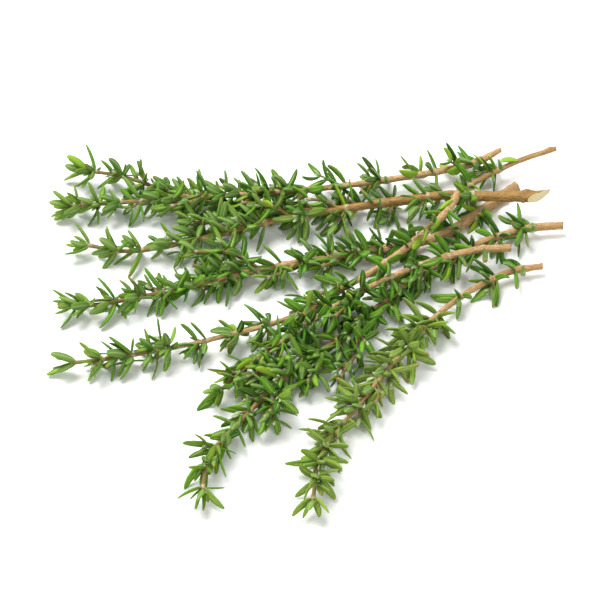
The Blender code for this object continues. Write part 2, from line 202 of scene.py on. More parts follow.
# Short shoots in the leaf axils: each has leaf pairs, as (share of the shoot, lean, length, width),
# and a pair of pale buds at its end. The middle pair is only on the longer shoots.
AXIL_PAIRS = ((0.20, 70, 8.2, 2.5), (0.58, 58, 7.8, 2.5), (0.95, 40, 7.0, 2.3))
AXIL_BUDS = (1.0, 14, 2.6, 1.2)
LONG_SHOOT = 3.9
AXIL_LENGTH = (1.6, 5.4)
AXIL_RADIUS = 0.33
AXIL_FLARE = 1.3
AXIL_SWING = 24
AXIL_LEAN = (34, 62)
AXIL_HEIGHTS = (1.0, 1.2)

# Where they grow. The bare shares are of the oldest axils, of those at the very tip and of those on
# long side shoots. A pair of places is added about the middle of each long gap between nodes.
BARE_AXILS = 0.72
BARE_TIP = 0.78
BARE_SIDE = 0.35
TIP_SHARE = 0.985
LONG_SIDE = 10.5
LONG_GAP = 8.2
GAP_MIDDLE = (0.42, 0.58)
GAP_STRAY = 0.6
AXIL_GAP = 0.03
AXIL_BENDS = BENDS[:9]

# The single leaves that lie along the bark
CLASPING_LEAF = {"length": 6.4, "width": 2.7, "keel": 0.6}
CLASPING_LEAN = 20
CLASPING_CURL = -16

# The fine leaf: shares along it, and its section's outline as (across, up) in half widths. The first
# five points are the upper face with its groove, the rest the underside with its rib. Leaves differ
# in twist in degrees, sway in lengths, width, and how far their edges roll.
LEAF_SHARES = np.array([0.08, 0.20, 0.42, 0.67, 0.87, 0.965])
LEAF_SECTION = np.array([(-1.0, -0.28), (-0.62, 0.22), (0.0, -0.05), (0.62, 0.22), (1.0, -0.28),
                         (0.52, -0.46), (0.0, -0.50), (-0.52, -0.46)])
UPPER_POINTS = 5
LEAF_TWIST = 26
LEAF_SWAY = 0.08
FINE_WIDTH = (0.86, 1.02)
EDGE_ROLL = (0.75, 1.25)

# How leaf colours vary. Leaves shorter than SMALL_LEAF look younger. YELLOW_SHARE of all leaves are
# yellow-green, and more of those in the short shoots up to FRESH_UNTIL of a sprig's length, by its own
# share. BROWN_SHARE of all leaves have a tip that is browned by BROWN_TIPS.
SMALL_LEAF = 4.6
YELLOW_SHARE = 0.015
FRESH_UNTIL = 0.24
BROWN_SHARE = 0.10
BROWN_TIPS = (0.4, 1)

# The fine stem. Ridges are (height in radii, waves round the stem, radians a millimetre along it), and
# the ripple's last number is the radians a millimetre in which it comes and goes.
RING_STEP = 0.55
SIDES = 14
SHORT_STEP = 1.2
SHORT_SIDES = 7
RIDGES = ((0.045, 4, 0.0), (0.03, 7, 0.31), (0.03, 2, 0.9), (0.03, 0, 1.7), (0.025, 5, -1.3),
          (0.03, 1, 0.37))
RIPPLE = (0.03, 3, 2.9, 0.23)
ROUGH_RADIUS = 1.2
NODE_SWELL = 0.26
NODE_LENGTH = 0.8
NECK_LENGTH = 3.5
KNOT_LENGTH = 1.0
KNOT_WIDTH = 0.35

# Its ends. CAP_RINGS are the rings of a cut face, in radii. A cut leans towards CUT_FACING, in radians
# round the stem, and its lean fades over CUT_FADE. SPLINTER is how far its outer corner bends up, and
# POINTED how far it narrows. The tip closes TIP_POINT beyond its last ring. The bark turns green from
# YOUNG_FROM of a main stem's length on.
CAP_RINGS = (0.45, 0.9)
CUT_FACING = 0.15
CUT_FADE = 4.0
SPLINTER = 0.42
POINTED = 0.38
TIP_POINT = 0.4
YOUNG_FROM = 0.62
YOUNG_FADE = 0.3

# Colours are linear red, green and blue. Pairs are mixed by a pattern, or by how tan the bark is.
LEAF_COLOURS = {
    "deep": (0.020, 0.098, 0.006), "bright": (0.115, 0.338, 0.010), "olive": (0.295, 0.380, 0.060),
    "young": ((0.15, 0.28, 0.014), (0.24, 0.36, 0.020)), "yellow": (0.31, 0.45, 0.016),
    # edge is painted shade: a darker green laid on the rolled margins, where a rounded leaf turns from
    # the light
    "groove": (0.34, 0.50, 0.115), "edge": (0.022, 0.085, 0.008), "under": (0.115, 0.225, 0.040),
    "rib": (0.32, 0.42, 0.15), "young_under": (0.24, 0.36, 0.07), "yellow_under": (0.26, 0.46, 0.016),
    "bud": (0.52, 0.60, 0.36), "stalk": (0.38, 0.42, 0.20), "browned": (0.37, 0.16, 0.03),
    "down": (0.42, 0.48, 0.21),
}
BARK_COLOURS = {
    "dark": ((0.170, 0.086, 0.020), (0.42, 0.232, 0.086)), "crack": (0.075, 0.042, 0.018),
    "pale": ((0.39, 0.222, 0.058), (0.67, 0.440, 0.220)), "speck": (0.52, 0.42, 0.30),
    "patch": ((0.37, 0.195, 0.030), (0.43, 0.270, 0.120)), "pore": (0.115, 0.065, 0.026),
    "thread": ((0.50, 0.345, 0.165), (0.68, 0.540, 0.38)), "scar": (0.52, 0.45, 0.30),
    "young": ((0.17, 0.17, 0.045), (0.30, 0.17, 0.08)), "wood": ((0.66, 0.54, 0.26), (0.92, 0.84, 0.54)),
}

# The bark's patterns: (scale, detail, how far it shrinks along the stem, so that it draws out)
BARK_PATTERNS = {
    "streaks": (3.0, 4, 0.14), "fibres": (7.0, 3, 0.10), "cracks": (4.5, 4, 0.22),
    "blotches": (0.6, 3, 0.5), "specks": (6.0, 3, 0.6), "pores": (5.5, 2, 0.7), "rings": (2.0, 1, 0.0),
}

# The studio, in metres: lamps are (name, place, size, power)
FLOOR_HALF = 3.0
FLOOR_DROP = 0.00005
SKY_STRENGTH = 0.62
LAMPS = (("key", (-0.30, 0.25, 0.75), 0.5, 9.5), ("fill", (0.5, -0.6, 0.5), 0.6, 2.0))
LAMP_TARGET = (0, 0.01, 0)

# The camera looks at this point from the photo's side, 50 degrees above the table.
VIEW_TARGET = (-1.9, 9.5, 0.0)
VIEW_ELEVATION = 50
VIEW_DISTANCE = 600
MM_PER_PIXEL = 0.28
FRAME_PIXELS = 600
SENSOR = 36


def unit(vectors):
    """The vectors at length one."""
    return vectors / np.linalg.norm(vectors, axis=-1, keepdims=True)


def run_of(line):
    """How far each point of a line is along it."""
    return np.concatenate([[0], np.cumsum(np.linalg.norm(np.diff(line, axis=0), axis=1))])


def points_at(distance, along, line):
    """The points of a line at one distance along it, or at many."""
    return np.stack([np.interp(distance, along, line[:, k]) for k in range(3)], axis=-1)


def smooth_line(points, step):
    """A Catmull-Rom curve through the points, resampled so that its points lie one step apart."""
    knots = np.array(points, float)
    knots = np.vstack([2 * knots[0] - knots[1], knots, 2 * knots[-1] - knots[-2]])
    t = np.linspace(0, 1, SPAN_POINTS, endpoint=False)[:, None]
    spans = []
    for a, b, c, d in zip(knots, knots[1:], knots[2:], knots[3:]):
        spans.append(0.5 * (2 * b + (c - a) * t + (2 * a - 5 * b + 4 * c - d) * t**2
                            + (3 * b - a - 3 * c + d) * t**3))
    line = np.vstack([*spans, knots[-2:-1]])
    along = run_of(line)
    count = max(2, round(along[-1] / step) + 1)
    return points_at(np.linspace(0, along[-1], count), along, line)


class Stem:
    """A tapering stem: its centre line, and what it measures at any distance from its root."""

    def __init__(self, points, root_radius, tip_radius):
        self.line = smooth_line(points, FINE_STEP)
        self.along = run_of(self.line)
        self.length = self.along[-1]
        self.root_radius = root_radius
        self.tip_radius = tip_radius

    def point(self, distance):
        """The centre line's point at one distance, or its points at many."""
        return points_at(distance, self.along, self.line)

    def tangent(self, distance):
        """The centre line's direction towards the tip, taken over a millimetre either way."""
        ahead = self.point(min(distance + 1, self.length))
        return unit(ahead - self.point(max(distance - 1, 0)))

    def radius(self, distance):
        """The radius, which shrinks from root to tip by a power of the distance."""
        share = np.clip(distance / self.length, 0, 1) ** STEM_TAPER
        return self.root_radius + (self.tip_radius - self.root_radius) * share

    def side(self, distance, degrees):
        """The direction out of the stem that many degrees above its left side, seen from its root."""
        along = self.tangent(distance)
        level = unit(np.cross([0, 0, 1], along))
        angle = math.radians(degrees)
        return level * math.cos(angle) + np.cross(along, level) * math.sin(angle)


def leaf_arc(leaf, shares):
    """Centre, face-up and level directions at these shares of a leaf's length. It leaves the stem at an
    angle that changes steadily towards its tip, so its middle line is an arc of a circle. The leaf's
    values are numbers for one leaf, or columns for many."""
    along, out = leaf["along"], leaf["out"]
    start = np.radians(leaf["lean"] - leaf["curl"] / 2)
    turn = np.radians(leaf["curl"])
    angle = start + turn * shares
    forward = (np.sin(angle) - np.sin(start)) / turn
    outward = (np.cos(start) - np.cos(angle)) / turn
    centre = leaf["root"] + leaf["length"] * (forward * along + outward * out)
    return centre, np.sin(angle) * along - np.cos(angle) * out, np.cross(along, out)


def rolled(face, level, degrees):
    """The directions across a leaf and up from its face, rolled round its middle line."""
    roll = np.radians(degrees)
    return level * np.cos(roll) + face * np.sin(roll), face * np.cos(roll) - level * np.sin(roll)


def leaf_blade(leaf, grow=0.0):
    """A leaf as a plain closed loft, as the solids have it, for finding what touches it. Its rings are
    three-cornered: both edges, and the keel below, which is shallower where the leaf is narrow."""
    shares = [0.0] + [share for share, _ in LEAF_RINGS] + [1.0]
    centre, face, level = leaf_arc(leaf, np.array(shares)[:, None])
    across, face = rolled(face, level, leaf["roll"])
    radius = leaf["stem"].radius(leaf["distance"])
    root = centre[0] - radius * (ROOT_SINK * unit(centre[1] - centre[0]) + ROOT_DROP * face[0])
    points = [root]
    for k, (_, share) in enumerate(LEAF_RINGS, start=1):
        half = leaf["width"] * share / 2 + grow
        points += [centre[k] - across[k] * half + face[k] * grow,
                   centre[k] + across[k] * half + face[k] * grow,
                   centre[k] - face[k] * (leaf["keel"] * (0.4 + 0.6 * share) + grow)]
    points.append(centre[-1] + unit(centre[-1] - centre[-2]) * grow)
    tip = len(points) - 1
    turns = ((0, 1), (1, 2), (2, 0))
    faces = [(0, 1 + a, 1 + b) for a, b in turns]
    faces += [face for a, b in turns for face in ((1 + a, 4 + a, 1 + b), (1 + b, 4 + a, 4 + b))]
    faces += [(4 + a, tip, 4 + b) for a, b in turns]
    return np.array(points), faces


def tree_of(meshes):
    """One search tree over several (points, faces) meshes, or None if there are none."""
    points, faces, first = [], [], 0
    for some_points, some_faces in meshes:
        points.append(some_points)
        faces += [tuple(first + k for k in face) for face in some_faces]
        first += len(some_points)
    if not faces:
        return None
    return BVHTree.FromPolygons(np.vstack(points).tolist(), faces)


def touches(blade, trees):
    """Whether a blade meets anything in the trees."""
    own = tree_of([blade])
    return any(tree is not None and own.overlap(tree) for tree in trees)


def tube_hull(stem):
    """A stem's outside as a plain tube of a few sides, for finding what touches it."""
    sides = HULL_SIDES
    count = max(3, round(stem.length / HULL_STEP))
    turns = np.radians(np.arange(sides) * 360 / sides)
    points, faces = [], []
    for k, distance in enumerate(np.linspace(0, stem.length, count)):
        along = stem.tangent(distance)
        level = unit(np.cross([0, 0, 1], along))
        upward = np.cross(along, level)
        radius = stem.radius(distance) * HULL_EASE
        points.append(stem.point(distance) + radius * (np.cos(turns)[:, None] * level
                                                       + np.sin(turns)[:, None] * upward))
        if k:
            for j in range(sides):
                a, b = sides * (k - 1) + j, sides * (k - 1) + (j + 1) % sides
                faces += [(a, b, b + sides), (a, b + sides, a + sides)]
    return np.vstack(points), faces


def shoot_stems(sprig, main):
    """The side shoots' stems: each leaves the main stem forwards and outwards and bends along it."""
    stems = []
    for distance, degrees, length in sprig["shoots"]:
        line = [main.point(distance)]
        along, out = main.tangent(distance), main.side(distance, degrees)
        for forward, outward, lowest in (SHOOT_KNEE, SHOOT_END):
            place = line[0] + length * (forward * along + outward * out)
            place[2] = max(place[2], lowest)
            line.append(place)
        stems.append(Stem(line, SHOOT_RADIUS * SHOOT_FLARE, SHOOT_RADIUS))
    return stems


def node_distances(stem, bare, internode, draw):
    """Distances of the leaf nodes from the root: their spacing shrinks towards the tip, by a power."""
    found, distance = [], bare
    while distance < stem.length - NODE_MARGIN:
        found.append(distance)
        share = (distance / stem.length) ** SPACING_POWER
        spacing = internode[0] + (internode[1] - internode[0]) * share
        distance += spacing * draw.uniform(1 - SPACING_SPREAD, 1 + SPACING_SPREAD)
    return found + [stem.length - LAST_NODE]


def shoot_nodes(shoot):
    """Distances of a side shoot's leaf nodes, evenly spaced up to its end."""
    count = max(2, round(shoot.length / SHOOT_INTERNODE))
    return [shoot.length * k / count - SHOOT_NODE_BACK for k in range(1, count + 1)]


def drawn_lean(lean, share, draw):
    """A leaf's lean at this share of the way to the tip."""
    at_root, less, spread = lean
    return at_root - less * share + draw.uniform(-spread, spread)


def leaf_at(stem, distance, degrees, lean, curl, form, draw):
    """One leaf rooted on the stem's centre line, as the values that its shape is worked out from."""
    return {"stem": stem, "distance": distance, "degrees": degrees, "lean": lean, "curl": curl,
            "length": form["length"] * draw.uniform(1 - LENGTH_SPREAD, 1 + LENGTH_SPREAD * 0.6),
            "width": form["width"] * draw.uniform(*WIDTH_RANGE), "keel": form["keel"],
            "roll": draw.uniform(-WANDER, WANDER)}


def nominal_leaves(sprig, main, shoots, draw):
    """Every leaf of a sprig's solid as it would grow with nothing in its way."""
    leaves = []
    turn = draw.uniform(30, 60)
    nodes = node_distances(main, sprig["bare"], sprig["internode"], draw)
    for k, distance in enumerate(nodes):
        young = (distance / main.length) ** 2
        last = k == len(nodes) - 1
        for side in (0, 180):
            degrees = turn + side + draw.uniform(-WANDER, WANDER)
            lean = drawn_lean(LAST_LEAN if last else MAIN_LEAN, young, draw)
            leaves.append(leaf_at(main, distance, degrees, lean, draw.uniform(*CURL), MAIN_LEAF, draw))
            leaves[-1]["bears_shoot"] = True
            twins = draw.random() < TWIN_SHARE and young < TWINS_UNTIL
            for turned in (() if last else AXIL_TURNS if twins else (draw.choice(AXIL_TURNS),)):
                axil = degrees + turned + draw.uniform(-AXIL_WANDER, AXIL_WANDER)
                closer = lean - draw.uniform(*AXIL_CLOSER)
                further = distance + draw.uniform(*AXIL_FURTHER)
                curl = draw.uniform(*AXIL_CURL)
                leaves.append(leaf_at(main, further, axil, closer, curl, AXIL_LEAF, draw))
        turn += 90 + draw.uniform(-10, 10)
    for side in (0, 90, 180, 270):
        degrees = turn + side + draw.uniform(-WANDER, WANDER)
        lean = draw.uniform(*TIP_LEAN)
        leaves.append(leaf_at(main, main.length - TIP_BACK, degrees, lean, TIP_CURL, TIP_LEAF, draw))
    for shoot in shoots:
        turn = draw.uniform(0, 90)
        nodes = shoot_nodes(shoot)
        for k, distance in enumerate(nodes, start=1):
            for side in (0, 180):
                lean = drawn_lean(SHOOT_LEAN, k / len(nodes), draw)
                degrees = turn + side + draw.uniform(-WANDER, WANDER)
                leaves.append(leaf_at(shoot, distance, degrees, lean, SHOOT_CURL, TIP_LEAF, draw))
            turn += 90
    return leaves


def bent(leaf, bend):
    """The leaf turned round its stem and leaned towards the stem's tip by one of the bends."""
    moved = dict(leaf)
    moved["lean"] = max(leaf["lean"] + bend[1], 8)
    moved["along"] = leaf["stem"].tangent(leaf["distance"])
    moved["degrees"] = leaf["degrees"] + bend[0]
    moved["out"] = leaf["stem"].side(leaf["distance"], moved["degrees"])
    moved["root"] = leaf["stem"].point(leaf["distance"])
    return moved


def outer(blade):
    """A blade without its root, which is inside the stem: for finding leaves that cross."""
    points, faces = blade
    return points[1:], [tuple(k - 1 for k in face) for face in faces if min(face) >= 1]


def clear_leaves(leaves, trees, own, gap, bends, highest=math.inf):
    """The leaves in their first bend that clears the table, the other sprigs and the leaves before
    them, and stays under the greatest height. One that no bend clears is left off, as a leaf rubbed
    off in the pile."""
    kept = []
    for leaf in leaves:
        place = leaf["stem"].point(leaf["distance"])
        own_tree = tree_of([blade for blade in own if np.abs(blade[0][0] - place).max() < NEAR])
        for bend in bends:
            moved = bent(leaf, bend)
            blade = leaf_blade(moved)
            if blade[0][:, 2].min() < -TABLE_DIP or blade[0][:, 2].max() > highest:
                continue
            grown = leaf_blade(moved, gap)
            if touches(grown, trees) or touches(outer(grown), [own_tree]):
                continue
            kept.append(moved)
            own.append(outer(blade))
            break
    return kept


def other_trees(plan, plans):
    """Search trees over the stems of the other sprigs and over the leaves that they have so far."""
    others = [p for p in plans if p is not plan]
    stems = [tube_hull(s) for p in others for s in (p["main"], *p["shoots"])]
    blades = [leaf_blade(leaf) for p in others for leaf in (*p["leaves"], *p["more"])]
    return [tree_of(stems), tree_of(blades)]


def plan_bundle():
    """Each sprig's stems and the leaves of its solid, all clear of the other sprigs."""
    plans = []
    for sprig in SPRIGS:
        main = Stem(sprig["route"], sprig["cut_radius"], TIP_RADIUS)
        plans.append({"sprig": sprig, "main": main, "shoots": shoot_stems(sprig, main),
                      "leaves": [], "more": [], "short": []})
    for plan in plans:
        draw = random.Random(plan["sprig"]["seed"])
        leaves = nominal_leaves(plan["sprig"], plan["main"], plan["shoots"], draw)
        plan["leaves"] = clear_leaves(leaves, other_trees(plan, plans), [], LEAF_GAP, BENDS)
    return plans


def bearing_leaves(plan):
    """A main stem's paired leaves, in whose axils short shoots grow, and the places of its nodes."""
    bearing = [leaf for leaf in plan["leaves"] if leaf.get("bears_shoot")]
    return bearing, sorted({round(leaf["distance"], 2) for leaf in bearing})


def shoot_places(plan, draw):
    """Where a sprig bears more than the solid does, as (stem, distance, degrees, whether it has a leaf
    of its own): the axils of the main leaves, of which some older ones and most at the tip stay bare,
    a pair of places halfway along each longer gap between nodes, from full_from on, the sprouts, and
    axils on the longer side shoots."""
    main, sprig = plan["main"], plan["sprig"]
    bearing, nodes = bearing_leaves(plan)
    places = []
    for leaf in bearing:
        share = leaf["distance"] / main.length
        if draw.random() > (BARE_TIP if share > TIP_SHARE else BARE_AXILS * (1 - share)):
            places.append((main, leaf["distance"], leaf["degrees"], False))
    for near, far in zip(nodes, nodes[1:]):
        middle = near + (far - near) * draw.uniform(*GAP_MIDDLE)
        turn = draw.uniform(0, 180)
        if far - near > LONG_GAP and middle > sprig["full_from"] * main.length:
            places += [(main, middle + draw.uniform(-GAP_STRAY, GAP_STRAY), turn + side, True)
                       for side in (0, 180)]
    places += [(main, distance, degrees, True) for distance, degrees in sprig.get("sprouts", ())]
    for leaf in plan["leaves"]:
        side = leaf["stem"]
        inner = side is not main and leaf["distance"] < side.length - LAST_NODE
        if inner and side.length > LONG_SIDE and draw.random() > BARE_SIDE:
            places.append((side, leaf["distance"], leaf["degrees"], False))
    return places


def axil_shoot(stem, distance, degrees, draw):
    """A short shoot from a leaf axil. It leaves the stem forwards and outwards, shorter the nearer it
    is to the tip, bends a little forwards, and is kept above the table."""
    share = distance / stem.length
    root, along = stem.point(distance), stem.tangent(distance)
    out = stem.side(distance, degrees + draw.uniform(-AXIL_SWING, AXIL_SWING))
    lean = math.radians(draw.uniform(*AXIL_LEAN))
    length = draw.uniform(*AXIL_LENGTH) * (1.1 - 0.7 * share**2)
    heading = math.cos(lean) * along + math.sin(lean) * out
    middle = root + 0.55 * length * heading
    end = root + length * (heading + 0.15 * along)
    for place, lowest in zip((middle, end), AXIL_HEIGHTS):
        place[2] = max(place[2], lowest)
    return Stem((root, middle, end), AXIL_RADIUS * AXIL_FLARE, AXIL_RADIUS)


def axil_leaves(shoot, share, vigour, draw):
    """The crossed leaf pairs and the buds of one short shoot, which grows at this share of its sprig.
    Shoots near either end have smaller leaves, and those near the cut are often yellow-green."""
    size = vigour * (1.0 - 0.25 * (1 - share) ** 4 - 0.32 * share**3 + draw.uniform(-0.1, 0.06))
    turn = draw.uniform(0, 90)
    found = []
    pairs = AXIL_PAIRS if shoot.length > LONG_SHOOT else AXIL_PAIRS[::2]
    for where, lean, length, width in (*pairs, AXIL_BUDS):
        form = {"length": length * size, "width": width * size, "keel": 0.3 * width}
        for side in (0, 180):
            degrees = turn + side + draw.uniform(-18, 18)
            tilt = max(lean + draw.uniform(-12, 12), 8)
            curl = draw.uniform(-36, 12)
            leaf = leaf_at(shoot, where * shoot.length, degrees, tilt, curl, form, draw)
            leaf["bud"] = length == AXIL_BUDS[2]
            leaf["age"] = 0.12 * where + share
            leaf["fresh"] = share < FRESH_UNTIL
            found.append(leaf)
        turn += 90
    return found


def clasping_leaf(stem, distance, degrees, draw):
    """A single yellow-green leaf that lies along the bark near the cut."""
    leaf = leaf_at(stem, distance, degrees, CLASPING_LEAN, CLASPING_CURL, CLASPING_LEAF, draw)
    return leaf | {"yellow": True}


def add_foliage(plans):
    """Gives every sprig its single leaves, its short shoots and the leaves between its nodes, clear of
    all others. Leaves get smaller towards the tip, and a side shoot counts as lying near it."""
    for plan in plans:
        main, sprig = plan["main"], plan["sprig"]
        draw, lone = (random.Random(sprig["seed"] + step) for step in (1000, 2000))
        own = [outer(leaf_blade(leaf)) for leaf in plan["leaves"]]
        trees = other_trees(plan, plans)
        leaves = [clasping_leaf(main, *place, lone) for place in sprig.get("clasping", ())]
        for stem, distance, degrees, leafy in shoot_places(plan, draw):
            share = distance / stem.length
            if stem is not main:
                share = 0.6 + 0.3 * share
            if leafy:
                form = {key: size * (1 - 0.2 * share) for key, size in MAIN_LEAF.items()}
                lean = drawn_lean(BETWEEN_LEAN, share, draw)
                leaves.append(leaf_at(stem, distance, degrees, lean, draw.uniform(*CURL), form, draw))
            shoot = axil_shoot(stem, distance, degrees, draw)
            if not touches(tube_hull(shoot), trees):
                plan["short"].append(shoot)
                leaves += axil_leaves(shoot, share, sprig["vigour"], draw)
        plan["more"] = clear_leaves(leaves, trees, own, AXIL_GAP, AXIL_BENDS, CAD_BOX[1][2] / MM)


def skin_faces(rings, sides):
    """The faces of a closed skin: a start point, rings of so many sides one after the other, and an
    end point. Quads join each ring to the next and three-cornered fans close both ends."""
    side = np.arange(sides)
    after = (side + 1) % sides
    ring = 1 + sides * np.arange(rings - 1)[:, None]
    quads = np.stack([ring + side, ring + sides + side, ring + sides + after, ring + after], axis=-1)
    last = 1 + sides * (rings - 1)
    start_fan = np.column_stack([np.zeros(sides, int), 1 + side, 1 + after])
    end_fan = np.column_stack([last + side, np.full(sides, last + sides), last + after])
    return quads.reshape(-1, 4), np.vstack([start_fan, end_fan])


def mesh_piece(name, points, quads, triangles, uv, attributes, material):
    """A smooth mesh from arrays: points in millimetres, faces, a UV pair and colours for each point.
    What dips below the table is pressed flat on it."""
    pressed = points.copy()
    pressed[:, 2] = np.maximum(pressed[:, 2], 0.0)
    mesh = bpy.data.meshes.new(name)
    mesh.from_pydata((pressed * MM).tolist(), [], quads.tolist() + triangles.tolist())
    corners = np.empty(len(mesh.loops), np.int32)
    mesh.loops.foreach_get("vertex_index", corners)
    layer = mesh.uv_layers.new(name="UVMap")
    layer.data.foreach_set("uv", uv[corners].astype(np.float32).ravel())
    for label, values in attributes.items():
        kind = "FLOAT_COLOR" if values.shape[1] == 4 else "FLOAT_VECTOR"
        field = "color" if kind == "FLOAT_COLOR" else "vector"
        data = mesh.attributes.new(label, kind, "POINT").data
        data.foreach_set(field, values.astype(np.float32).ravel())
    mesh.shade_smooth()
    mesh.materials.append(material)
    piece = bpy.data.objects.new(name, mesh)
    bpy.context.scene.collection.objects.link(piece)
    return piece


def column(leaves, key):
    """One value of every leaf, as an array that spreads over rings and section points."""
    return np.array([leaf[key] for leaf in leaves], float).reshape(len(leaves), 1, -1)


def leaf_outline(share):
    """Half width at a share of the length, 1 at its widest: the power 0.42 of a sine arch that is
    widest before the middle, drawn in to a short stalk over the first eighth."""
    arch = np.sin(np.pi * share**0.88) ** 0.42
    stalk = np.clip(share / 0.13, 0, 1)
    return arch * (0.45 + 0.55 * stalk * stalk * (3 - 2 * stalk))


def leaf_skins(leaves, draw):
    """All of a sprig's leaves as one array of skins. A leaf's middle line is the arc of its plain
    blade, swayed to one side in a sine arch. Its section, the rolled-edge outline scaled by the half
    width, is carried along that line, and turned by a slight twist that grows towards the tip."""
    count, rings, sides = len(leaves), len(LEAF_SHARES), len(LEAF_SECTION)
    shares = np.concatenate([[0.0], LEAF_SHARES, [1.0]])[None, :, None]
    every = {key: column(leaves, key)
             for key in ("root", "along", "out", "length", "width", "lean", "curl", "roll")}
    centre, face, level = leaf_arc(every, shares)
    twist = draw.uniform(-LEAF_TWIST, LEAF_TWIST, (count, 1, 1)) * shares
    sway = draw.uniform(-LEAF_SWAY, LEAF_SWAY, (count, 1, 1)) * every["length"] * np.sin(np.pi * shares)
    across, face = rolled(face, level, every["roll"] + twist)
    centre = centre + level * sway
    radius = np.array([leaf["stem"].radius(leaf["distance"]) for leaf in leaves]).reshape(-1, 1)
    heading = unit(centre[:, 1] - centre[:, 0])
    first = centre[:, 0] - radius * (ROOT_SINK * heading + ROOT_DROP * face[:, 0])
    half = every["width"] / 2 * leaf_outline(shares) * draw.uniform(*FINE_WIDTH, (count, 1, 1))
    edge = draw.uniform(*EDGE_ROLL, (count, 1, 1, 1))
    section = LEAF_SECTION[None, None]
    skin = (centre[:, 1:-1, None] + across[:, 1:-1, None] * half[:, 1:-1, None] * section[..., :1]
            + face[:, 1:-1, None] * half[:, 1:-1, None] * section[..., 1:] * edge)
    points = np.concatenate([first[:, None], skin.reshape(count, rings * sides, 3), centre[:, -1:]], 1)
    quads, fans = skin_faces(rings, sides)
    step = (np.arange(count) * (rings * sides + 2))[:, None, None]
    return points, (quads + step).reshape(-1, 4), (fans + step).reshape(-1, 3)


def leaf_colours(leaves, sprig, draw):
    """For each point of each leaf: UV as (across, along), and two colour sets. tint holds youth,
    lightness and how far the tip has browned; form holds 1 on the underside, 1 on a bud, and how
    olive the leaf is. Youth grows with the fourth power of the leaf's share along the stem, olive comes
    in over the sprig's first half, each varies from leaf to leaf, and a few leaves are yellow-green."""
    count, rings, sides = len(leaves), len(LEAF_SHARES), len(LEAF_SECTION)
    across = np.concatenate([[0.5], np.tile(0.5 + 0.5 * LEAF_SECTION[:, 0], rings), [0.5]])
    share = np.concatenate([[0.0], np.repeat(LEAF_SHARES, sides), [1.0]])
    uv = np.tile(np.column_stack([across, share]), (count, 1, 1))
    under = np.tile(np.arange(sides) >= UPPER_POINTS, rings)
    under = np.concatenate([[0.5], under, [0.5]])
    age = np.array([leaf.get("age", leaf["distance"] / leaf["stem"].length) for leaf in leaves])
    small = np.array([leaf["length"] < SMALL_LEAF for leaf in leaves])
    bud, fresh, lone = (np.array([leaf.get(mark, False) for leaf in leaves])
                        for mark in ("bud", "fresh", "yellow"))
    yellow = (draw.random(count) < YELLOW_SHARE + sprig["fresh"] * fresh) | lone
    youth = np.clip(0.55 * age**4 + 0.2 * small + draw.normal(0.0, 0.18, count), 0, 0.85)
    youth = np.where(yellow, 1.0, youth)
    light = np.clip(draw.normal(0.5, 0.27, count), 0, 1)
    brown = np.where(draw.random(count) < BROWN_SHARE, draw.uniform(*BROWN_TIPS, count), 0)
    dull = sprig["olive"] * np.clip((age - 0.12) / 0.3, 0.2, 1)
    olive = np.clip(dull + draw.normal(0, 0.13, count), 0, 1)
    whole = [np.repeat(values[:, None], len(share), 1) for values in (youth, light, brown, bud, olive)]
    solid = np.ones((count, len(share)))
    tint = np.stack([*whole[:3], solid], -1)
    form = np.stack([np.tile(under, (count, 1)), *whole[3:], solid], -1)
    return uv, tint, form


def leaves_piece(plan, material):
    """One sprig's leaves, those of its short shoots, and their buds as a single mesh."""
    leaves = plan["leaves"] + plan["more"]
    draw = np.random.default_rng(plan["sprig"]["seed"])
    points, quads, triangles = leaf_skins(leaves, draw)
    uv, tint, form = leaf_colours(leaves, plan["sprig"], draw)
    return mesh_piece(plan["sprig"]["name"] + "_leaves", points.reshape(-1, 3), quads, triangles,
                      uv.reshape(-1, 2), {"tint": tint.reshape(-1, 4), "form": form.reshape(-1, 4)},
                      material)


def stem_skin(stem, nodes, knots, neck, step, sides, draw):
    """A stem's bark as rings. The radius tapers, draws in at the cut, swells in a bell curve at each
    node and knot, and carries low ridges, which are sums of sines round and along the stem, and
    stand higher on a thick stem."""
    count = max(4, round(stem.length / step))
    distance = np.linspace(0, stem.length, count)
    centre = stem.point(distance)
    along = unit(np.gradient(centre, axis=0))
    level = unit(np.cross([0, 0, 1], along))
    turns = np.linspace(0, 2 * np.pi, sides, endpoint=False)
    near = np.exp(-((distance[:, None] - np.array(nodes)[None, :]) / NODE_LENGTH) ** 2).max(axis=1)
    waves = draw.uniform(0, 2 * np.pi, (len(RIDGES), 1, 1))
    d, a = distance[:, None], turns[None, :]
    relief = np.zeros((count, sides))
    for (height, round_stem, down_stem), wave in zip(RIDGES, waves):
        relief = relief + height * np.sin(round_stem * a + d * down_stem + wave)
    height, round_stem, down_stem, comes = RIPPLE
    ripple = height * np.sin(round_stem * a + d * down_stem + waves[1]) * np.sin(d * comes + waves[0])
    relief = (relief + ripple) * stem.root_radius / ROUGH_RADIUS
    for place, degrees, height in knots:
        beside = 1 - np.cos(a - math.radians(degrees))
        relief = relief + height * np.exp(-((d - place) / KNOT_LENGTH) ** 2 - beside / KNOT_WIDTH)
    narrow = neck * np.exp(-((d / NECK_LENGTH) ** 2))
    radius = stem.radius(distance)[:, None] * (1 - narrow + NODE_SWELL * near[:, None] + relief)
    return distance, near, centre, along, level, turns, radius


